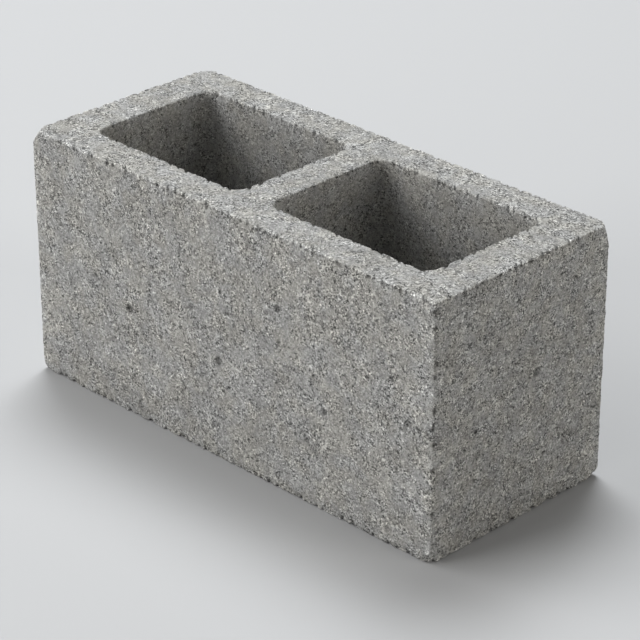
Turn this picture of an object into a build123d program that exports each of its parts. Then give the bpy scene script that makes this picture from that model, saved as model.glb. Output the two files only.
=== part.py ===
from build123d import *
import os

# Hollow building block of dense aggregate concrete, pressed in one piece, with two open cores.
# Sizes are millimetres. X runs along the two long faces, Y through the wall and Z up, and the
# origin is the middle of the lower bed, on which the block stands as it is laid.

# Outer size of the block, without the mortar joint
block_length = 440.0
block_width = 190.0
block_height = 215.0

# Thickness of the walls round the cores. The cores taper, so that the steel cores of the mould
# draw out downwards: every wall is thicker at the upper bed, which is also the mason's grip.
face_shell_upper = 34.0
face_shell_lower = 31.5
end_web_upper = 38.0
end_web_lower = 35.0
centre_web_upper = 33.0
centre_web_lower = 29.0

# Rounding of the cores and of the outer edges
core_corner_radius = 10.0
upright_edge_radius = 4.0
bed_edge_radius = 3.0
core_rim_radius = 2.0

# How far a cutting shape runs past the face that it cuts
cut_overrun = 6.0


def size_at(height, lower, upper):
    """A size at a height, where it changes evenly from the lower bed to the upper one."""
    return lower + (upper - lower) * height / block_height


def block_body():
    """The full block with its rounded upright edges, before the cores."""
    outline = RectangleRounded(block_length, block_width, upright_edge_radius)
    return extrude(outline, block_height)


def tapered_section(lower_start, lower_end, upper_start, upper_end):
    """A core's section through its middle, run on past both beds at the same slope."""
    lowest = -cut_overrun
    highest = block_height + cut_overrun
    return Polygon(
        (size_at(lowest, lower_start, upper_start), lowest),
        (size_at(lowest, lower_end, upper_end), lowest),
        (size_at(highest, lower_end, upper_end), highest),
        (size_at(highest, lower_start, upper_start), highest),
        align=None,
    )


def core(side):
    """The tapered space of one core, with rounded upright corners; side is -1 or 1."""
    half_length = block_length / 2
    half_width = block_width / 2
    lengthwise = tapered_section(
        side * centre_web_lower / 2,
        side * (half_length - end_web_lower),
        side * centre_web_upper / 2,
        side * (half_length - end_web_upper),
    )
    crosswise = tapered_section(
        face_shell_lower - half_width,
        half_width - face_shell_lower,
        face_shell_upper - half_width,
        half_width - face_shell_upper,
    )
    along_width = extrude(Plane.XZ * lengthwise, block_width, both=True)
    along_length = extrude(Plane.YZ * crosswise, block_length, both=True)
    space = along_width & along_length
    level_edges = space.edges().filter_by(Axis.X) + space.edges().filter_by(Axis.Y)
    return fillet(space.edges() - level_edges, core_corner_radius)


def bed_edges(solid):
    """The edges of the two bed faces: the outer ones, then the rims of the cores."""
    beds = [solid.faces().sort_by(Axis.Z)[0], solid.faces().sort_by(Axis.Z)[-1]]
    outer = [edge for bed in beds for edge in bed.outer_wire().edges()]
    rims = [edge for bed in beds for wire in bed.inner_wires() for edge in wire.edges()]
    return outer, rims


def concrete_block():
    """The whole block: body, two cores, and rounded edges all round both beds."""
    solid = block_body() - core(-1) - core(1)
    outer, rims = bed_edges(solid)
    solid = fillet(outer, bed_edge_radius)
    outer, rims = bed_edges(solid)
    return fillet(rims, core_rim_radius)


os.makedirs("parts", exist_ok=True)
export_step(concrete_block(), "parts/concrete_block.step")
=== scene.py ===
import logging
import math
from dataclasses import dataclass, field
from enum import Enum
from typing import Any, Callable, Iterable, Mapping, Optional, Union

import bmesh
import bpy
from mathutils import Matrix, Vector


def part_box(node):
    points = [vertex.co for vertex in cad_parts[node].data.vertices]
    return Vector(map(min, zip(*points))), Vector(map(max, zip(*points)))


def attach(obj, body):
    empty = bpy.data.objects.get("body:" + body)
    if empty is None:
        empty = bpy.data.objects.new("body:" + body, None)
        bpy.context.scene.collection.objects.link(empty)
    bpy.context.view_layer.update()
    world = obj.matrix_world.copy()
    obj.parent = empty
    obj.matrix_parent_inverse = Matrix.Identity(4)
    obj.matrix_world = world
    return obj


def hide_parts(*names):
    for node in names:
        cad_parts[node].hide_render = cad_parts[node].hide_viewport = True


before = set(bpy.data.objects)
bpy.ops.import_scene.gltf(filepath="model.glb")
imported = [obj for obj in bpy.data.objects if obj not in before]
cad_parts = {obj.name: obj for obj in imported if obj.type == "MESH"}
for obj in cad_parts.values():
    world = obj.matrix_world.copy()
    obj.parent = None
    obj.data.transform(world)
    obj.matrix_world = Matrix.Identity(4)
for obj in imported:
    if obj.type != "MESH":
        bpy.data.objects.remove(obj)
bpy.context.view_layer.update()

LOG = logging.getLogger("concrete_block")
MM = 0.001
BLOCK_NODE = "concrete_block"
BODY = "root"
SUNK_ATTRIBUTE = "sunk"

Number = Union[int, float]
Shade = tuple[float, float, float]


class TreeKind(Enum):
    """The two kinds of node tree that the block is made with."""

    SHADER = "ShaderNodeTree"
    GEOMETRY = "GeometryNodeTree"


class Signal:
    """A node socket that takes part in Python expressions."""

    def __init__(self, bench: "NodeBench", socket: bpy.types.NodeSocket) -> None:
        """Keeps the socket and the bench that adds nodes behind it."""
        self.bench = bench
        self.socket = socket

    def _maths(self, operation: str, *values: Any) -> "Signal":
        """Adds one Math node over the given values.

        Args:
            operation: the Math node's operation.
            *values: signals or numbers, in the order of the node's sockets.

        Returns:
            The node's result.
        """
        return self.bench.add("ShaderNodeMath", {"operation": operation}, dict(enumerate(values)))

    def __add__(self, other: Any) -> "Signal":
        """Sum."""
        return self._maths("ADD", self, other)

    __radd__ = __add__

    def __sub__(self, other: Any) -> "Signal":
        """Difference."""
        return self._maths("SUBTRACT", self, other)

    def __rsub__(self, other: Any) -> "Signal":
        """Difference, with the signal on the right."""
        return self._maths("SUBTRACT", other, self)

    def __mul__(self, other: Any) -> "Signal":
        """Product."""
        return self._maths("MULTIPLY", self, other)

    __rmul__ = __mul__

    def __truediv__(self, other: Any) -> "Signal":
        """Quotient."""
        return self._maths("DIVIDE", self, other)

    def __pow__(self, other: Any) -> "Signal":
        """Power."""
        return self._maths("POWER", self, other)

    def __abs__(self) -> "Signal":
        """Absolute value."""
        return self._maths("ABSOLUTE", self)

    def __gt__(self, other: Any) -> "Signal":
        """1 where the signal is the greater, else 0."""
        return self._maths("GREATER_THAN", self, other)

    def lower_of(self, other: Any) -> "Signal":
        """The lower of two values."""
        return self._maths("MINIMUM", self, other)

    def higher_of(self, other: Any) -> "Signal":
        """The higher of two values."""
        return self._maths("MAXIMUM", self, other)

    def rise(self, low: Number, high: Number) -> "Signal":
        """A smooth step.

        Args:
            low: where the step leaves 0; it may be above high, and then the step falls.
            high: where the step reaches 1.

        Returns:
            A value from 0 to 1.
        """
        settings = {"interpolation_type": "SMOOTHSTEP"}
        sockets = {"Value": self, "From Min": low, "From Max": high}
        return self.bench.add("ShaderNodeMapRange", settings, sockets)


class NodeBench:
    """Adds nodes to one tree by type, settings and socket values."""

    def __init__(self, tree: bpy.types.NodeTree) -> None:
        """Empties the tree and keeps it."""
        self.tree = tree
        self.tree.nodes.clear()

    def node(
        self,
        kind: str,
        settings: Optional[Mapping[str, Any]] = None,
        sockets: Optional[Mapping[Union[str, int], Any]] = None,
    ) -> bpy.types.Node:
        """Adds a node.

        Args:
            kind: the node's type name.
            settings: properties of the node, set before its sockets.
            sockets: for each input's name or index, a signal to link or a value to set.

        Returns:
            The new node.
        """
        made = self.tree.nodes.new(kind)
        for name, value in (settings or {}).items():
            setattr(made, name, value)
        for key, value in (sockets or {}).items():
            if isinstance(value, Signal):
                self.tree.links.new(value.socket, made.inputs[key])
            else:
                made.inputs[key].default_value = value
        return made

    def add(
        self,
        kind: str,
        settings: Optional[Mapping[str, Any]] = None,
        sockets: Optional[Mapping[Union[str, int], Any]] = None,
        output: Union[str, int] = 0,
    ) -> Signal:
        """Adds a node, as node() does, and returns one of its outputs.

        Args:
            kind: the node's type name.
            settings: properties of the node.
            sockets: values or signals of its inputs.
            output: the name or index of the output that is wanted.

        Returns:
            That output as a signal.
        """
        return Signal(self, self.node(kind, settings, sockets).outputs[output])

    def noise(self, place: Signal, grain: float, detail: float = 2.0, output: str = "Fac") -> Signal:
        """Soft noise.

        Args:
            place: the point it is read at, in metres.
            grain: the size of one lump, in metres.
            detail: how many finer layers it has.
            output: Fac or Color.

        Returns:
            A value near 0.5, or a colour.
        """
        sockets = {"Vector": place, "Scale": 1 / grain, "Detail": detail}
        return self.add("ShaderNodeTexNoise", None, sockets, output)

    def cells(self, place: Signal, spacing: float, output: str = "Distance", **settings: Any) -> Signal:
        """Scattered cells, one about every spacing.

        Args:
            place: the point it is read at, in metres.
            spacing: the mean distance between cells, in metres.
            output: Distance, Color or Position.
            **settings: properties of the Voronoi node.

        Returns:
            The wanted output; a distance is in spacings.
        """
        sockets = {"Vector": place, "Scale": 1 / spacing}
        return self.add("ShaderNodeTexVoronoi", settings, sockets, output)

    def channel(self, colour: Signal, output: str = "Red") -> Signal:
        """One channel of a colour, as a random number from a cell's colour."""
        family = "Shader" if self.tree.bl_idname == TreeKind.SHADER.value else "Function"
        return self.add(family + "NodeSeparateColor", None, {"Color": colour}, output)

    def blend(self, share: Any, first: Any, second: Any, how: str = "MIX") -> Signal:
        """Mixes two colours.

        Args:
            share: how much of the second colour, from 0 to 1.
            first: a colour or a signal.
            second: a colour or a signal.
            how: the blend type.

        Returns:
            The mixed colour.
        """
        first_socket, second_socket, result_socket = 6, 7, 2
        settings = {"data_type": "RGBA", "blend_type": how}
        sockets = {0: share, first_socket: first, second_socket: second}
        return self.add("ShaderNodeMix", settings, sockets, result_socket)

    def grey(self, value: Signal) -> Signal:
        """A colour with the same value in its three channels."""
        return self.add("ShaderNodeCombineColor", None, {"Red": value, "Green": value, "Blue": value})


def geometry_bench(name: str) -> NodeBench:
    """A bench on a new node group that takes a mesh and gives one back.

    Args:
        name: the group's name.

    Returns:
        The bench; its tree is the group.
    """
    group = bpy.data.node_groups.new(name, TreeKind.GEOMETRY.value)
    for way in ("INPUT", "OUTPUT"):
        group.interface.new_socket("Geometry", in_out=way, socket_type="NodeSocketGeometry")
    return NodeBench(group)


@dataclass(frozen=True)
class EdgeMap:
    """Works out in a node tree where the block's edges lie, and what happens along them.

    Attributes:
        half_length: half the block's length.
        half_width: half its width.
        height: its height; the lower bed lies at 0.
        face_shell: thickness of the long walls, at the upper and at the lower bed.
        end_web: thickness of the end walls, at both beds.
        centre_web: thickness of the wall between the cores, at both beds.
        core_corner: radius of the cores' upright corners.
        nick_spacing: mean distance between two nicks along an edge.
        nick_reach: radius of the smallest nick, and what the largest has on top, in millimetres.
        nick_width: how far from an edge a nick keeps its full width.
        nick_ragged: size of the grains that make a nick ragged, and how much they do.
        rim_shift: how much less far the nicks reach from the cores' rims.
        upper_shift: how far the nicks of the upper bed are shifted from those of the lower one.
    """

    half_length: float
    half_width: float
    height: float
    face_shell: tuple[float, float]
    end_web: tuple[float, float]
    centre_web: tuple[float, float]
    core_corner: float
    nick_spacing: float = 12.0 * MM
    nick_reach: tuple[float, float] = (0.6, 1.45)
    nick_width: float = 1.2 * MM
    nick_ragged: tuple[float, float] = (1.8 * MM, 1.6 * MM)
    rim_shift: float = 0.3 * MM
    upper_shift: float = 100.0 * MM

    def axes(self, bench: NodeBench, place: Signal) -> list[Signal]:
        """The point's X, Y and Z."""
        return [bench.add("ShaderNodeSeparateXYZ", None, {"Vector": place}, axis) for axis in "XYZ"]

    def upright_arris(self, bench: NodeBench, place: Signal) -> Signal:
        """How far a point lies from the outer upright edges."""
        x, y, _ = self.axes(bench, place)
        return (self.half_length - abs(x)).higher_of(self.half_width - abs(y))

    def shoulder(self, bench: NodeBench, place: Signal) -> Signal:
        """Marks the ends of the two long faces, just beside the upright edges, where a painted highlight
        goes.

        Args:
            bench: the tree it is worked out in.
            place: the point.

        Returns:
            1 there and 0 elsewhere.
        """
        from_long_face = self.half_width - abs(self.axes(bench, place)[1])
        beside = self.upright_arris(bench, place).rise(5.0 * MM, 2.0 * MM)
        return beside * from_long_face.rise(1.7 * MM, 1.0 * MM)

    def from_outside(self, bench: NodeBench, place: Signal) -> Signal:
        """How far a point lies inside the nearest outer face."""
        x, y, _ = self.axes(bench, place)
        return (self.half_length - abs(x)).lower_of(self.half_width - abs(y))

    def from_core(self, bench: NodeBench, place: Signal) -> Signal:
        """How far a point lies from the nearest core's wall.

        Args:
            bench: the tree it is worked out in.
            place: the point.

        Returns:
            The distance in metres, on either side of the wall.
        """
        x, y, z = self.axes(bench, place)
        x, y = abs(x), abs(y)
        share = z * (1 / self.height)

        def between(lower: float, upper: float) -> Signal:
            """A size that changes evenly from the lower bed to the upper one."""
            return lower + (upper - lower) * share

        walls = (self.centre_web, self.end_web, self.face_shell)
        web, end, shell = (between(lower, upper) for upper, lower in walls)
        inner, outer = web * 0.5, self.half_length - end
        middle, half = (inner + outer) * 0.5, (outer - inner) * 0.5
        beyond_x = (abs(x - middle) - half + self.core_corner).higher_of(0.0)
        beyond_y = (y - (self.half_width - shell) + self.core_corner).higher_of(0.0)
        return abs((beyond_x * beyond_x + beyond_y * beyond_y) ** 0.5 - self.core_corner)

    def bed_edges(self, bench: NodeBench, place: Signal) -> list[Signal]:
        """How far a point lies from each kind of edge of the beds.

        Args:
            bench: the tree it is worked out in.
            place: the point.

        Returns:
            The distances from the upper arris, the lower arris, the upper rims and the lower rims.
        """
        z = self.axes(bench, place)[2]
        outside, core = self.from_outside(bench, place), self.from_core(bench, place)
        return [wall.higher_of(bed) for wall in (outside, core) for bed in (self.height - z, z)]

    def nicks(self, bench: NodeBench, place: Signal) -> Signal:
        """Small nicks across the edges of the beds.

        Args:
            bench: the tree it is worked out in.
            place: the point.

        Returns:
            1 in a nick and 0 outside it.
        """
        x, y, z = self.axes(bench, place)
        upper, lower, upper_rim, lower_rim = self.bed_edges(bench, place)
        off_rims = upper_rim.lower_of(lower_rim) + self.rim_shift
        off_edge = upper.lower_of(lower).lower_of(off_rims)
        along = x + y + self.upper_shift * (z > self.height / 2)
        settings, sockets = {"voronoi_dimensions": "1D"}, {"W": along, "Scale": 1 / self.nick_spacing}
        row = ("ShaderNodeTexVoronoi", settings, sockets)
        aside = bench.add(*row, "Distance") * self.nick_spacing
        pick = bench.channel(bench.add(*row, "Color"), "Blue")
        grain, unevenness = self.nick_ragged
        ragged = (bench.noise(place, grain) - 0.5) * unevenness
        beyond = 0.5 * (off_edge - self.nick_width).higher_of(0.0)
        away = (aside * aside + beyond * beyond) ** 0.5 + ragged
        least, more = self.nick_reach
        reach = (least + more * pick) * MM
        border, floor = 1.2, 0.5
        return away.rise(reach * border, reach * floor)


@dataclass(frozen=True)
class ConcreteFinish:
    """Pressed dense-aggregate concrete: grey paste, light and dark sand, small open pores, with painted shade
    in its hollows and painted highlights along its edges.

    Attributes:
        edges: where the block's edges lie.
        cool_paste: colour of the cement paste where it is coolest.
        warm_paste: its colour where it is warmest.
        dust_size: size of the finest specks.
        sand_size: mean size of the sand grains.
        stone_size: mean size of the coarser grains.
        pebble_spacing: mean distance between the largest grains that show.
        pore_spacing: mean distance between two pores.
        clump_size: mean size of the clumps that crevices run round.
        skin_size: size of the patches that the mould left smooth.
        warmth_size: size of the warmer and cooler patches.
        cloud_size: size of the lighter and darker patches.
        relief: the depth that the bump stands for.
        core_x: where the cores begin and end on X, from the block's middle.
        core_y: how far they reach on Y.
        core_fade: how far below a bed the cores' walls have their full shade.
    """

    edges: EdgeMap
    cool_paste: Shade = (0.296, 0.294, 0.284)
    warm_paste: Shade = (0.303, 0.295, 0.272)
    dust_size: float = 0.62 * MM
    sand_size: float = 1.05 * MM
    stone_size: float = 3.0 * MM
    pebble_spacing: float = 15.0 * MM
    pore_spacing: float = 2.6 * MM
    clump_size: float = 2.4 * MM
    skin_size: float = 10.0 * MM
    warmth_size: float = 17.0 * MM
    cloud_size: float = 30.0 * MM
    relief: float = 0.8 * MM
    core_x: tuple[float, float] = (13.0 * MM, 187.0 * MM)
    core_y: float = 65.0 * MM
    core_fade: float = 3.0 * MM

    def core_walls(self, bench: NodeBench, place: Signal) -> Signal:
        """Marks the walls of the cores, where the grains are given less contrast.

        Args:
            bench: the tree it is worked out in.
            place: the point on the block.

        Returns:
            1 on those walls and 0 elsewhere.
        """
        x, y, z = self.edges.axes(bench, place)
        start, end = self.core_x
        within = (abs(x) > start) * (end - abs(x) > 0.0) * (self.core_y - abs(y) > 0.0)
        height = self.edges.height
        return within * z.rise(0.0, self.core_fade) * z.rise(height, height - self.core_fade)

    def lips(self, bench: NodeBench, place: Signal) -> Signal:
        """Marks the narrow lips where a bed meets an outer face, which get a painted highlight where the
        rounded edge catches the light, and paler broken grains.

        Args:
            bench: the tree it is worked out in.
            place: the point on the block.

        Returns:
            1 on those lips and 0 elsewhere.
        """
        z = self.edges.axes(bench, place)[2]
        from_bed = z.lower_of(self.edges.height - z)
        from_face = self.edges.from_outside(bench, place)
        return from_face.rise(4.2 * MM, 1.6 * MM) * from_bed.rise(2.2 * MM, 1.0 * MM)

    def grains(self, bench: NodeBench, place: Signal, sand: Signal, dust: Signal) -> Signal:
        """How much lighter or darker than the paste the single grains are.

        Args:
            bench: the tree it is worked out in.
            place: the point on the block.
            sand: a random colour for each grain of sand.
            dust: the finest specks.

        Returns:
            A share of the paste's own lightness, above or below 0.
        """
        few_odd, all_sand, all_stone, all_dust = 5.2, 0.3, 0.4, 2.2
        odd = bench.channel(sand) - 0.5
        stone = bench.channel(bench.cells(place, self.stone_size, "Color"), "Green") - 0.5
        return few_odd * odd * odd * odd + all_sand * odd + all_stone * stone + all_dust * (dust - 0.5)

    def pebbles(self, bench: NodeBench, place: Signal) -> tuple[Signal, Signal]:
        """The largest grains that show.

        Args:
            bench: the tree they are worked out in.
            place: the point on the block.

        Returns:
            Where they lie, from 0 to 1, and how much lighter than the paste each one is.
        """
        rarity, mean_shade, contrast = 0.6, 0.78, 0.9
        shade = bench.channel(bench.cells(place, self.pebble_spacing, "Color"))
        ragged = 0.2 * (bench.noise(place, 3 * MM) - 0.5)
        away = bench.cells(place, self.pebble_spacing) + ragged
        shown = (shade - rarity).rise(0.0, 0.1) * away.rise(0.3, 0.22)
        return shown, contrast * (shade - mean_shade)

    def pores(self, bench: NodeBench, place: Signal, skin: Signal) -> Signal:
        """Small open pores, fainter where the skin is smooth.

        Args:
            bench: the tree they are worked out in.
            place: the point on the block.
            skin: where the mould left the concrete smooth.

        Returns:
            1 in a pore and 0 outside it.
        """
        pick = bench.channel(bench.cells(place, self.pore_spacing, "Color"), "Blue")
        away = bench.cells(place, self.pore_spacing)
        return (pick - 0.5).rise(0.0, 0.25) * away.rise(0.37, 0.22) * (1 - 0.6 * skin)

    def crevices(self, bench: NodeBench, place: Signal, skin: Signal) -> Signal:
        """Fine crevices round some clumps of grains, fainter where the skin is smooth.

        Args:
            bench: the tree they are worked out in.
            place: the point on the block.
            skin: where the mould left the concrete smooth.

        Returns:
            1 in a crevice and 0 outside it.
        """
        border = bench.cells(place, self.clump_size, "Distance", feature="DISTANCE_TO_EDGE")
        chosen = bench.noise(place, 3.4 * MM, 2.0).rise(0.5, 0.62)
        return border.rise(0.17, 0.05) * chosen * (1 - 0.7 * skin)

    def painted_light_and_shade(self, bench: NodeBench, place: Signal) -> Signal:
        """Painted shade in the deeper hollows and nicks, and painted light near the outer upright edges.

        Args:
            bench: the tree it is worked out in.
            place: the point on the block.

        Returns:
            A factor near 1.
        """
        sunk = bench.add("ShaderNodeAttribute", {"attribute_name": SUNK_ATTRIBUTE}, None, "Fac")
        hollow_painted_shade, nick_painted_shade, upright_painted_light_gain, painted_shoulder_gain = 0.5, 0.5, 0.045, 0.09
        nicks, shoulder = self.edges.nicks(bench, place), self.edges.shoulder(bench, place)
        near_upright_painted_light = self.edges.upright_arris(bench, place).rise(34 * MM, 2 * MM)
        # painted shade: the deeper hollows and the nicks are darkened where shade falls in them
        dark = (1 - hollow_painted_shade * sunk.rise(0.45, 1.2)) * (1 - nick_painted_shade * nicks)
        # painted light: lighter within 34 mm of the outer upright edges, with a painted highlight on the long
        # faces just beside them
        return dark * (1 + upright_painted_light_gain * near_upright_painted_light) * (1 + painted_shoulder_gain * shoulder)

    def material(self) -> bpy.types.Material:
        """Builds the concrete.

        Returns:
            The material, which reads Object coordinates and how deep each hollow is.
        """
        material = bpy.data.materials.new("pressed_concrete")
        material.use_nodes = True
        bench = NodeBench(material.node_tree)
        place = bench.add("ShaderNodeTexCoord", None, None, "Object")

        dust = bench.noise(place, self.dust_size, 3.0)
        sand = bench.cells(place, self.sand_size, "Color")
        skin = bench.noise(place, self.skin_size, 3.0).rise(0.42, 0.62)
        cloud = bench.noise(place, self.cloud_size, 4.0)
        pebbles, paler = self.pebbles(bench, place)
        pores, crevices = self.pores(bench, place, skin), self.crevices(bench, place, skin)

        open_grit, skin_calm, pebble_calm, wall_calm = 1.34, 0.66, 0.5, 0.25
        calm_walls = 1 - wall_calm * self.core_walls(bench, place)
        grit = (open_grit - skin_calm * skin) * (1 - pebble_calm * pebbles) * calm_walls

        mean_tone, darkest, glint_light, pore_painted_shade, crevice_painted_shade = 1.03, 0.15, 0.62, 0.62, 0.4
        cloud_least, cloud_more, lip_painted_highlight, lip_painted_glint = 0.73, 0.54, 0.16, 0.3
        glints = (bench.channel(sand, "Green") - 0.85).rise(0.0, 0.06)
        speckle = self.grains(bench, place, sand, dust) + glint_light * glints
        clouded = (mean_tone + speckle * grit + paler * pebbles) * (cloud_least + cloud_more * cloud)
        # painted highlight along the lips of the beds, stronger on the pale specks there
        tone = clouded * (1 + self.lips(bench, place) * (lip_painted_highlight + lip_painted_glint * glints))
        # painted shade in the pores and crevices, on top of their bump, and the painted light and shade of
        # the edges and hollows
        tone = tone * (1 - pore_painted_shade * pores) * (1 - crevice_painted_shade * crevices) * self.painted_light_and_shade(bench, place)
        tone = bench.grey(tone.higher_of(darkest))

        warmth = bench.noise(place, self.warmth_size, 3.0).rise(0.35, 0.65)
        paste = bench.blend(warmth, self.cool_paste + (1.0,), self.warm_paste + (1.0,))
        dust_rise, sand_rise, pore_fall, crevice_fall, stone_fall = 0.7, 0.3, 0.7, 0.5, 0.35
        risen = dust_rise * dust + sand_rise * bench.channel(sand)
        between_stones = stone_fall * bench.cells(place, self.stone_size)
        height = risen - pore_fall * pores - crevice_fall * crevices - between_stones
        bump = bench.add("ShaderNodeBump", None, {"Strength": 1.0, "Distance": self.relief, "Height": height})
        sockets = {
            "Base Color": bench.blend(1.0, paste, tone, "MULTIPLY"),
            "Roughness": 0.93,
            "Specular IOR Level": 0.25,
            "Normal": bump,
        }
        shader = bench.add("ShaderNodeBsdfPrincipled", None, sockets)
        bench.node("ShaderNodeOutputMaterial", None, {"Surface": shader})
        return material


@dataclass(frozen=True)
class PlainFinish:
    """A plain matt finish for the studio floor.

    Attributes:
        name: the material's name.
        shade: its colour.
    """

    name: str
    shade: Shade

    def material(self) -> bpy.types.Material:
        """Builds the plain material.

        Returns:
            The material.
        """
        material = bpy.data.materials.new(self.name)
        material.use_nodes = True
        bench = NodeBench(material.node_tree)
        sockets = {"Base Color": self.shade + (1.0,), "Roughness": 0.9, "Specular IOR Level": 0.1}
        shader = bench.add("ShaderNodeBsdfPrincipled", None, sockets)
        bench.node("ShaderNodeOutputMaterial", None, {"Surface": shader})
        return material


class Shaping:
    """Edit-mode work on one mesh piece: select by place, then run an operator."""

    def __init__(self, piece: bpy.types.Object) -> None:
        """Makes the piece the only selected and active one.

        Args:
            piece: the mesh piece.
        """
        self.piece = piece
        bpy.ops.object.select_all(action="DESELECT")
        piece.select_set(True)
        bpy.context.view_layer.objects.active = piece

    def __enter__(self) -> "Shaping":
        """Goes into edit mode."""
        bpy.ops.object.mode_set(mode="EDIT")
        return self

    def __exit__(self, *problem: Any) -> None:
        """Goes back to object mode."""
        bpy.ops.object.mode_set(mode="OBJECT")

    def pick(self, kind: str, wanted: Callable[[Any], bool]) -> None:
        """Selects only the vertices, edges or faces that are wanted.

        Args:
            kind: verts, edges or faces.
            wanted: says whether one of them is selected.
        """
        modes = {"verts": "VERT", "edges": "EDGE", "faces": "FACE"}
        bpy.ops.mesh.select_mode(type=modes[kind])
        bpy.ops.mesh.select_all(action="DESELECT")
        mesh = bmesh.from_edit_mesh(self.piece.data)
        mesh.normal_update()
        for element in [e for e in getattr(mesh, kind) if wanted(e)]:
            element.select_set(True)
        mesh.select_flush_mode()
        bmesh.update_edit_mesh(self.piece.data)

    def cut(self, axis: int, place: float) -> None:
        """Cuts all faces along a plane across one axis.

        Args:
            axis: 0, 1 or 2 for X, Y or Z.
            place: where the plane stands on that axis.
        """
        point, normal = [0.0, 0.0, 0.0], [0.0, 0.0, 0.0]
        point[axis], normal[axis] = place, 1.0
        bpy.ops.mesh.select_all(action="SELECT")
        bpy.ops.mesh.bisect(plane_co=point, plane_no=normal)

    def round_off(self, radius: float, segments: int) -> None:
        """Bevels the selected edges to a round."""
        bpy.ops.mesh.bevel(offset=radius, segments=segments, profile=0.5, affect="EDGES")


@dataclass(frozen=True)
class Mark:
    """A single pit, chip or notch.

    Attributes:
        middle: where it lies on the block's surface, in millimetres.
        reach: its radius, in millimetres.
        depth: how deep it is, in millimetres.
    """

    middle: tuple[float, float, float]
    reach: float
    depth: float

    def depth_at(self, bench: NodeBench, place: Signal) -> Signal:
        """Its depth at a point, ragged at its border.

        Args:
            bench: the tree it is worked out in.
            place: the point.

        Returns:
            The depth in metres.
        """
        border, floor, grain = 1.2, 0.6, 2.4 * MM
        middle = Vector(self.middle) * MM
        away = bench.add("ShaderNodeVectorMath", {"operation": "DISTANCE"}, {0: place, 1: middle}, "Value")
        ragged = (bench.noise(place, grain, 2.0) - 0.5) * self.reach * MM
        return (away + ragged).rise(border * self.reach * MM, floor * self.reach * MM) * self.depth * MM


def triangle_count(piece: bpy.types.Object) -> int:
    """How many triangles a mesh piece comes to."""
    return sum(len(face.vertices) - 2 for face in piece.data.polygons)


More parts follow.
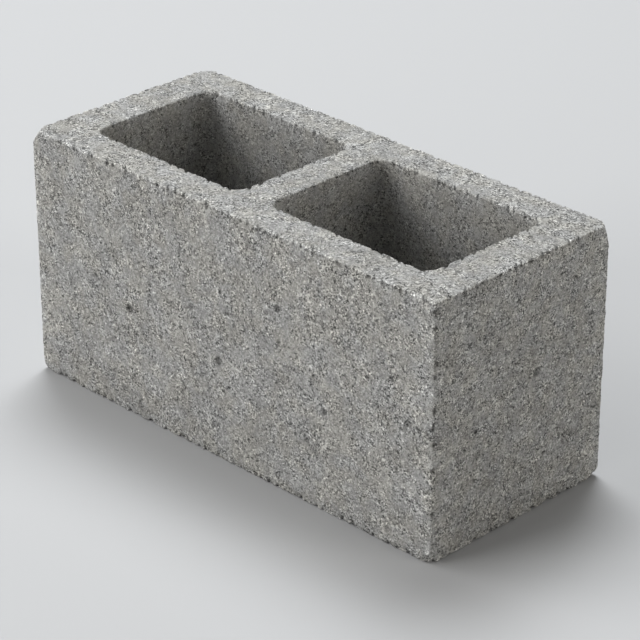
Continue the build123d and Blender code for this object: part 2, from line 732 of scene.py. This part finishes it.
@dataclass
class BlockCasting:
    """The whole cast block: body, two tapered cores, worn edges and open texture.

    Attributes:
        low: lowest corner of the block.
        high: highest corner of the block.
        face_shell: thickness of the long walls, at the upper and at the lower bed.
        end_web: thickness of the end walls, at both beds.
        centre_web: thickness of the wall between the cores, at both beds.
        core_corner: radius of the cores' upright corners.
        upright_edge: radius of the outer upright edges.
        bed_edge: radius of the outer bed edges.
        core_rim: radius of the cores' rims.
        knocks: for each outer corner, by its sides on X, Y and Z, how far along those three edges it is
            knocked off, in millimetres.
        knock_edge: radius round the knocked corners.
        marks: the larger pits, chips and notches that show on their own.
        wear_depths: how deep a missing grain is on the upright arrises, the upper and the lower arris, and
            the upper and the lower rims.
        wear_reach: how far from an edge that wear ends, and how near to it it is full.
        nick_depth: how deep the nicks in the beds' edges are.
        fine_step: size of the mesh that takes the texture.
        most_triangles: what the finished mesh may have.
    """

    low: Vector
    high: Vector
    face_shell: tuple[float, float] = (34.0 * MM, 31.5 * MM)
    end_web: tuple[float, float] = (38.0 * MM, 35.0 * MM)
    centre_web: tuple[float, float] = (33.0 * MM, 29.0 * MM)
    core_corner: float = 10.0 * MM
    upright_edge: float = 2.0 * MM
    bed_edge: float = 3.0 * MM
    core_rim: float = 1.0 * MM
    knocks: Mapping[tuple[int, int, int], tuple[float, float, float]] = field(
        default_factory=lambda: {
            (1, -1, 1): (5.0, 5.0, 6.0),
            (1, 1, 1): (7.0, 8.0, 17.0),
            (1, 1, -1): (8.0, 10.5, 5.5),
            (1, -1, -1): (7.5, 7.5, 7.0),
            (-1, -1, 1): (10.0, 10.5, 10.5),
            (-1, -1, -1): (6.0, 6.0, 6.0),
            (-1, 1, 1): (9.5, 9.5, 9.0),
            (-1, 1, -1): (7.0, 8.0, 7.0),
        }
    )
    knock_edge: float = 6.0 * MM
    marks: tuple[Mark, ...] = (
        Mark((195, -95, 109), 3.4, 2.0),
        Mark((-108, -95, 94), 3.6, 2.0),
        Mark((-5, -95, 86), 3.6, 2.0),
        Mark((178, -95, 139), 2.9, 1.7),
        Mark((110, -95, 86), 3.0, 1.7),
        Mark((60, -95, 154), 3.4, 1.9),
        Mark((-79, -95, 140), 2.3, 1.4),
        Mark((-148, -95, 110), 2.3, 1.4),
        Mark((-189, -95, 141), 2.4, 1.5),
        Mark((206, -95, 107), 2.2, 1.4),
        Mark((154, -95, 213), 2.6, 1.6),
        Mark((181, -95, 213), 2.2, 1.4),
        Mark((47, -95, 213), 2.3, 1.5),
        Mark((21, -95, 213), 2.2, 1.4),
        Mark((220, -93, 207), 3.1, 2.1),
        Mark((220, -93, 194), 2.3, 1.7),
        Mark((220, -92, 165), 2.8, 1.9),
        Mark((220, -93, 155), 2.2, 1.6),
        Mark((220, -93, 128), 3.0, 2.0),
        Mark((220, -94, 115), 2.5, 1.8),
        Mark((220, -93, 101), 2.1, 1.5),
        Mark((220, -93, 80), 2.2, 1.6),
        Mark((220, -93, 43), 2.4, 1.7),
        Mark((220, 26, 214), 2.6, 1.6),
        Mark((220, -16, 214), 2.4, 1.5),
        Mark((220, -44, 214), 2.3, 1.4),
        Mark((220, 6, 213), 2.2, 1.4),
        Mark((220, 18, 119), 4.2, 1.9),
        Mark((220, -62, 193), 2.3, 1.4),
        Mark((220, -48, 94), 2.3, 1.4),
    )
    wear_depths: tuple[float, ...] = (0.4 * MM, 0.8 * MM, 1.5 * MM, 0.6 * MM, 1.1 * MM)
    wear_reach: tuple[float, float] = (7.0 * MM, 1.8 * MM)
    nick_depth: float = 1.5 * MM
    fine_step: float = 1.15 * MM
    most_triangles: int = 195_000

    def __post_init__(self) -> None:
        """Works out the half sizes and the map of the edges."""
        self.half_length = (self.high.x - self.low.x) / 2
        self.half_width = (self.high.y - self.low.y) / 2
        self.edges = EdgeMap(
            self.half_length,
            self.half_width,
            self.high.z - self.low.z,
            self.face_shell,
            self.end_web,
            self.centre_web,
            self.core_corner,
        )

    def build(self) -> bpy.types.Object:
        """Makes the casting step by step.

        Returns:
            The finished mesh piece, with no material yet.
        """
        piece = self.blank()
        self.knock_corners(piece)
        self.open_cores(piece)
        self.round_edges(piece)
        self.refine(piece)
        self.weather(piece)
        self.thin_out(piece)
        self.trim(piece)
        return piece

    def blank(self) -> bpy.types.Object:
        """The solid blank, a box of the block's size in its place.

        Returns:
            The mesh piece.
        """
        bpy.ops.object.select_all(action="DESELECT")
        middle = (self.low + self.high) / 2
        bpy.ops.mesh.primitive_cube_add(size=1, location=middle, scale=self.high - self.low)
        bpy.ops.object.transform_apply(location=True, rotation=True, scale=True)
        piece = bpy.context.active_object
        piece.name = piece.data.name = "pressed_casting"
        return piece

    def knock_corners(self, piece: bpy.types.Object) -> None:
        """Cuts off the eight knocked corners, each by its own plane.

        Args:
            piece: the mesh piece.
        """
        with Shaping(piece):
            for sides, reach in self.knocks.items():
                ends = zip(sides, self.low, self.high)
                corner = Vector([high if side > 0 else low for side, low, high in ends])
                outward = Vector([side / part for side, part in zip(sides, reach)]).normalized()
                start = corner - Vector((sides[0] * reach[0] * MM, 0, 0))
                bpy.ops.mesh.select_all(action="SELECT")
                bpy.ops.mesh.bisect(plane_co=start, plane_no=outward, clear_outer=True, use_fill=True)

    def core_sides(self, bed: int) -> dict[int, tuple[float, float]]:
        """Where the cores' walls stand at a bed.

        Args:
            bed: 0 for the upper bed, 1 for the lower one.

        Returns:
            For each side, -1 or 1: the X of the wall on the centre web and of the one on the end web.
        """
        inner = self.centre_web[bed] / 2
        outer = self.half_length - self.end_web[bed]
        return {side: (side * inner, side * outer) for side in (-1, 1)}

    def open_cores(self, piece: bpy.types.Object) -> None:
        """Opens both cores from bed to bed and tapers them.

        Args:
            piece: the mesh piece.
        """
        bed_normal = 0.9
        upper_y = self.half_width - self.face_shell[0]
        with Shaping(piece) as shaping:
            for side in (-1, 1):
                for place in self.core_sides(0)[side]:
                    shaping.cut(0, place)
                shaping.cut(1, side * upper_y)
            for side in (-1, 1):
                near, far = sorted(self.core_sides(0)[side])
                shaping.pick(
                    "faces",
                    lambda face: near < face.calc_center_median().x < far
                    and abs(face.calc_center_median().y) < upper_y
                    and abs(face.normal.z) > bed_normal,
                )
                bpy.ops.mesh.bridge_edge_loops()
            self.taper(shaping)

    def taper(self, shaping: Shaping) -> None:
        """Moves the cores' lower rims out to their lower sizes.

        Args:
            shaping: the edit-mode work on the piece.
        """
        slack = 0.1 * MM
        upper_y = self.half_width - self.face_shell[0]
        for side in (-1, 1):
            for upper, lower in zip(self.core_sides(0)[side], self.core_sides(1)[side]):
                shaping.pick(
                    "verts",
                    lambda v: abs(v.co.x - upper) < slack
                    and abs(v.co.y) < upper_y + slack
                    and v.co.z < self.low.z + slack,
                )
                bpy.ops.transform.translate(value=(lower - upper, 0, 0))
        for side in (-1, 1):
            shaping.pick(
                "verts",
                lambda v: abs(v.co.y - side * upper_y) < slack
                and abs(v.co.x) < self.half_length - slack
                and v.co.z < self.low.z + slack,
            )
            bpy.ops.transform.translate(value=(0, side * (self.face_shell[0] - self.face_shell[1]), 0))

    def round_edges(self, piece: bpy.types.Object) -> None:
        """Rounds the cores' corners, then all outer edges and rims, each with its own radius.

        Args:
            piece: the mesh piece.
        """
        corner_segments, edge_segments = 8, 4
        slack, upright_share, sharp = 0.5 * MM, 0.9, math.radians(25)
        within_shell = self.half_width - self.face_shell[1] + slack

        def is_upright(edge: Any) -> bool:
            """Whether an edge runs from bed to bed."""
            first, second = edge.verts
            return abs(first.co.z - second.co.z) > upright_share * edge.calc_length()

        def is_inside(edge: Any) -> bool:
            """Whether an edge lies in a core."""
            ends = self.half_length - slack
            return all(abs(v.co.y) < within_shell and abs(v.co.x) < ends for v in edge.verts)

        def is_level(edge: Any) -> bool:
            """Whether an edge lies in a bed."""
            heights = [v.co.z for v in edge.verts]
            return max(heights) < self.low.z + slack or min(heights) > self.high.z - slack

        def is_sharp(edge: Any) -> bool:
            """Whether the faces at an edge meet at an angle."""
            return edge.calc_face_angle(0) > sharp

        def is_knock(edge: Any) -> bool:
            """Whether an edge goes round a knocked corner."""
            along = (edge.verts[0].co - edge.verts[1].co).normalized()
            return max(abs(part) for part in along) < upright_share

        with Shaping(piece) as shaping:
            shaping.pick("edges", lambda e: is_upright(e) and is_inside(e))
            shaping.round_off(self.core_corner, corner_segments)
            widest = self.knock_edge
            for radius, wanted in (
                (self.upright_edge, lambda e: is_sharp(e) and is_upright(e)),
                (self.bed_edge, lambda e: is_sharp(e) and is_level(e) and not is_inside(e)),
                (self.core_rim, lambda e: is_sharp(e) and is_level(e) and is_inside(e)),
                (self.knock_edge, lambda e: is_sharp(e) and is_knock(e) and not is_inside(e)),
            ):
                shaping.pick("edges", wanted)
                bpy.ops.transform.edge_bevelweight(value=-1.0)
                bpy.ops.transform.edge_bevelweight(value=radius / widest)
        rounds = {"limit_method": "WEIGHT", "width": widest, "segments": edge_segments}
        self.apply(piece, "BEVEL", "edge_rounds", **rounds)

    def apply(self, piece: bpy.types.Object, kind: str, name: str, **settings: Any) -> None:
        """Adds a modifier to the piece and applies it.

        Args:
            piece: the mesh piece.
            kind: the modifier's type.
            name: the modifier's name.
            **settings: its properties.
        """
        modifier = piece.modifiers.new(name, kind)
        for key, value in settings.items():
            setattr(modifier, key, value)
        bpy.context.view_layer.objects.active = piece
        bpy.ops.object.modifier_apply(modifier=modifier.name)

    def refine(self, piece: bpy.types.Object) -> None:
        """Gives the casting an even, fine mesh that can take its texture."""
        self.apply(piece, "REMESH", "even_mesh", mode="VOXEL", voxel_size=self.fine_step)

    def weather(self, piece: bpy.types.Object) -> None:
        """Sinks the surface by the concrete's own unevenness, pits and worn edges.

        Args:
            piece: the mesh piece.
        """
        bench = geometry_bench("weathering")
        mesh = bench.add("NodeGroupInput")
        place = bench.add("GeometryNodeInputPosition")
        normal = bench.add("GeometryNodeInputNormal")
        wear = self.edge_wear(bench, place)
        hollow = self.hollows(bench, place)
        nicks = self.nick_depth * self.edges.nicks(bench, place)
        depth = (self.grain_relief(bench, place, wear) + hollow.higher_of(nicks)).higher_of(0.0)
        # each hollow's depth is kept for the material, which paints shade into it
        noted = {"Geometry": mesh, "Name": SUNK_ATTRIBUTE, "Value": hollow / MM}
        mesh = bench.add("GeometryNodeStoreNamedAttribute", {"data_type": "FLOAT", "domain": "POINT"}, noted)
        offset = bench.add("ShaderNodeVectorMath", {"operation": "SCALE"}, {0: normal, "Scale": depth * -1})
        moved = bench.add("GeometryNodeSetPosition", None, {"Geometry": mesh, "Offset": offset})
        bench.node("NodeGroupOutput", None, {0: moved})
        self.apply(piece, "NODES", "weathering", node_group=bench.tree)

    def grain_relief(self, bench: NodeBench, place: Signal, wear: Signal) -> Signal:
        """The unevenness of the pressed face, with grains missing along the edges.

        Args:
            bench: the tree it is worked out in.
            place: the point on the mould's face.
            wear: how deep a grain is that is missing there.

        Returns:
            The depth in metres.
        """
        swell_depth, lump_depth, sand_depth, pressed_flat = 0.4 * MM, 0.25 * MM, 0.5 * MM, 0.19 * MM
        worn_sand, worn_grains, clumping = 0.6, 0.8, 1.4
        swell = bench.noise(place, 34 * MM, 2.0)
        lumps = bench.cells(place, 6.5 * MM)
        sand = bench.noise(place, 3.2 * MM, 2.0)
        grain_pick = bench.channel(bench.cells(place, 3.4 * MM, "Color"), "Green")
        chip_pick = bench.noise(place, 10 * MM, 2.0)
        lost = (grain_pick + clumping * (chip_pick - 0.5)).rise(0.6, 0.8)
        missing = lost + (chip_pick - 0.45).higher_of(0.0)
        sanded = (sand_depth + worn_sand * wear) * (sand - 0.4).higher_of(0.0)
        pressed = swell_depth * swell + lump_depth * lumps + sanded
        return pressed + worn_grains * wear * missing - pressed_flat

    def hollows(self, bench: NodeBench, place: Signal) -> Signal:
        """The hollows that the material darkens with painted shade: open pits and the single marks.

        Args:
            bench: the tree it is worked out in.
            place: the point on the mould's face.

        Returns:
            The depth in metres.
        """
        pit_spacing, pit_depth, rarity = 13 * MM, 1.4 * MM, 0.66
        pit_pick = bench.channel(bench.cells(place, pit_spacing, "Color"))
        away = bench.cells(place, pit_spacing)
        depth = pit_depth * (pit_pick - rarity).rise(0.0, 0.34) * away.rise(0.2, 0.04)
        for mark in self.marks:
            depth = depth.higher_of(mark.depth_at(bench, place))
        return depth

    def edge_wear(self, bench: NodeBench, place: Signal) -> Signal:
        """How deep a missing grain leaves the surface near each kind of edge.

        Args:
            bench: the tree it is worked out in.
            place: the point on the mould's face.

        Returns:
            The depth in metres, 0 away from all edges.
        """
        distances = [self.edges.upright_arris(bench, place)] + self.edges.bed_edges(bench, place)
        wear = None
        for distance, depth in zip(distances, self.wear_depths):
            near = distance.rise(*self.wear_reach) * depth
            wear = near if wear is None else wear.higher_of(near)
        return wear

    def thin_out(self, piece: bpy.types.Object) -> None:
        """Thins the mesh where it is smooth, down to its limit of triangles.

        Args:
            piece: the mesh piece.
        """
        before = triangle_count(piece)
        share = min(1.0, self.most_triangles / before)
        self.apply(piece, "DECIMATE", "thinning", decimate_type="COLLAPSE", ratio=share)
        LOG.info("%s: %d triangles before thinning, %d after", piece.name, before, triangle_count(piece))

    def trim(self, piece: bpy.types.Object) -> None:
        """Brings back the few points that thinning leaves just outside the block's box.

        Args:
            piece: the mesh piece, which is also given smooth shading.
        """
        bench = geometry_bench("trimming")
        mesh = bench.add("NodeGroupInput")
        place = bench.add("GeometryNodeInputPosition")
        above = bench.add("ShaderNodeVectorMath", {"operation": "MAXIMUM"}, {0: place, 1: self.low})
        within = bench.add("ShaderNodeVectorMath", {"operation": "MINIMUM"}, {0: above, 1: self.high})
        moved = bench.add("GeometryNodeSetPosition", None, {"Geometry": mesh, "Position": within})
        bench.node("NodeGroupOutput", None, {0: moved})
        self.apply(piece, "NODES", "trimming", node_group=bench.tree)
        Shaping(piece)
        bpy.ops.object.shade_smooth()


@dataclass(frozen=True)
class Lamp:
    """A square soft light that points at the block.

    Attributes:
        name: the lamp's name.
        azimuth: its direction from the block, in degrees; 0 is in front of the long face.
        elevation: its height above the horizon, in degrees.
        distance: from the block, in metres.
        size: the side of the square, in metres.
        power: in watts.
        tint: its colour.
    """

    name: str
    azimuth: float
    elevation: float
    distance: float
    size: float
    power: float
    tint: Shade = (1.0, 1.0, 1.0)

    def place(self, target: Vector) -> None:
        """Adds the lamp, aimed at the target.

        Args:
            target: the block's middle.
        """
        back = direction(self.azimuth, self.elevation)
        bpy.ops.object.light_add(type="AREA", location=target + back * self.distance)
        lamp = bpy.context.active_object
        lamp.name = self.name
        lamp.rotation_euler = (-back).to_track_quat("-Z", "Y").to_euler()
        lamp.data.shape = "SQUARE"
        lamp.data.size = self.size
        lamp.data.energy = self.power
        lamp.data.color = self.tint


def direction(azimuth: float, elevation: float) -> Vector:
    """The unit vector from the block towards a place round it.

    Args:
        azimuth: in degrees, 0 in front of the long face at -Y, 90 beside the end at +X.
        elevation: above the horizon, in degrees.

    Returns:
        The unit vector.
    """
    a, e = math.radians(azimuth), math.radians(elevation)
    return Vector((math.sin(a) * math.cos(e), -math.cos(a) * math.cos(e), math.sin(e)))


@dataclass
class Studio:
    """The pale floor, the soft lights and the camera.

    Attributes:
        target: the block's middle.
        picture_side: side of the square picture, in pixels.
        block_pixel: where the block's middle lies in the picture, in pixels.
        azimuth: the camera's direction from the block, in degrees.
        elevation: its height above the horizon, in degrees.
        distance: from the block's middle, in metres.
        focal_pixels: the focal length, in pixels of the picture.
        sensor_width: width of the camera's sensor, in millimetres.
        floor_side: side of the square floor, in metres.
        floor_shade: its colour.
        air_light: strength of the even light from all round.
    """

    target: Vector
    picture_side: float = 640.0
    block_pixel: tuple[float, float] = (310.7, 299.5)
    azimuth: float = 45.19
    elevation: float = 26.79
    distance: float = 2.176
    focal_pixels: float = 2770.3
    sensor_width: float = 36.0
    floor_side: float = 30.0
    floor_shade: Shade = (0.46, 0.46, 0.46)
    air_light: float = 0.11

    def build(self) -> None:
        """Sets up the whole studio."""
        self.lay_floor()
        self.hang_lights()
        self.place_camera()

    def lay_floor(self) -> None:
        """Lays a large pale floor under the block."""
        bpy.ops.object.select_all(action="DESELECT")
        bpy.ops.mesh.primitive_plane_add(size=self.floor_side, location=(0, 0, 0))
        floor = bpy.context.active_object
        floor.name = "studio_floor"
        floor.data.materials.append(PlainFinish("pale_floor", self.floor_shade).material())

    def hang_lights(self) -> None:
        """Lights the top most, the long face next and the end least."""
        cool = (0.99, 0.995, 1.0)
        far, size = 5.2, 2.4
        for lamp in (
            Lamp("key_light", -25, 15, far, size, 119, cool),
            Lamp("high_key", -25, 40, far, size, 40, cool),
            Lamp("side_key", -60, 40, far, size, 76, cool),
            Lamp("front_fill", 15, 15, far, size, 30),
            Lamp("end_fill", 105, 15, far, size, 92, (1.0, 0.985, 0.95)),
            Lamp("top_light", 225, 65, far, size, 290, (0.943, 0.971, 1.0)),
        ):
            lamp.place(self.target)
        world = bpy.data.worlds.new("studio_air")
        world.use_nodes = True
        bench = NodeBench(world.node_tree)
        sky = bench.add("ShaderNodeBackground", None, {"Color": (1, 1, 1, 1), "Strength": self.air_light})
        bench.node("ShaderNodeOutputWorld", None, {"Surface": sky})
        bpy.context.scene.world = world

    def place_camera(self) -> None:
        """Places the camera where the picture was taken from, with no lens shift."""
        back = direction(self.azimuth, self.elevation)
        turn = (-back).to_track_quat("-Z", "Y")
        right, up = turn @ Vector((1, 0, 0)), turn @ Vector((0, 1, 0))
        middle = self.picture_side / 2
        aside = (self.block_pixel[0] - middle) / self.focal_pixels * self.distance
        above = (self.block_pixel[1] - middle) / self.focal_pixels * self.distance
        bpy.ops.object.camera_add(location=self.target + back * self.distance - right * aside + up * above)
        camera = bpy.context.active_object
        camera.name = "picture_camera"
        camera.rotation_euler = turn.to_euler()
        camera.data.sensor_width = self.sensor_width
        camera.data.lens = self.focal_pixels / self.picture_side * self.sensor_width
        bpy.context.scene.camera = camera


def main() -> None:
    """Builds the casting, dresses it and sets up the studio."""
    logging.basicConfig(level=logging.INFO, format="%(name)s: %(message)s")
    low, high = (Vector(corner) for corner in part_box(BLOCK_NODE))
    block = BlockCasting(low, high)
    casting = block.build()
    casting.data.materials.append(ConcreteFinish(block.edges).material())
    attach(casting, BODY)
    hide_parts(BLOCK_NODE)
    LOG.info("piece %s replaces %s on body %s", casting.name, BLOCK_NODE, BODY)
    Studio((low + high) / 2).build()
    bpy.context.scene.view_settings.view_transform = "Standard"


if __name__ == "__main__":
    main()
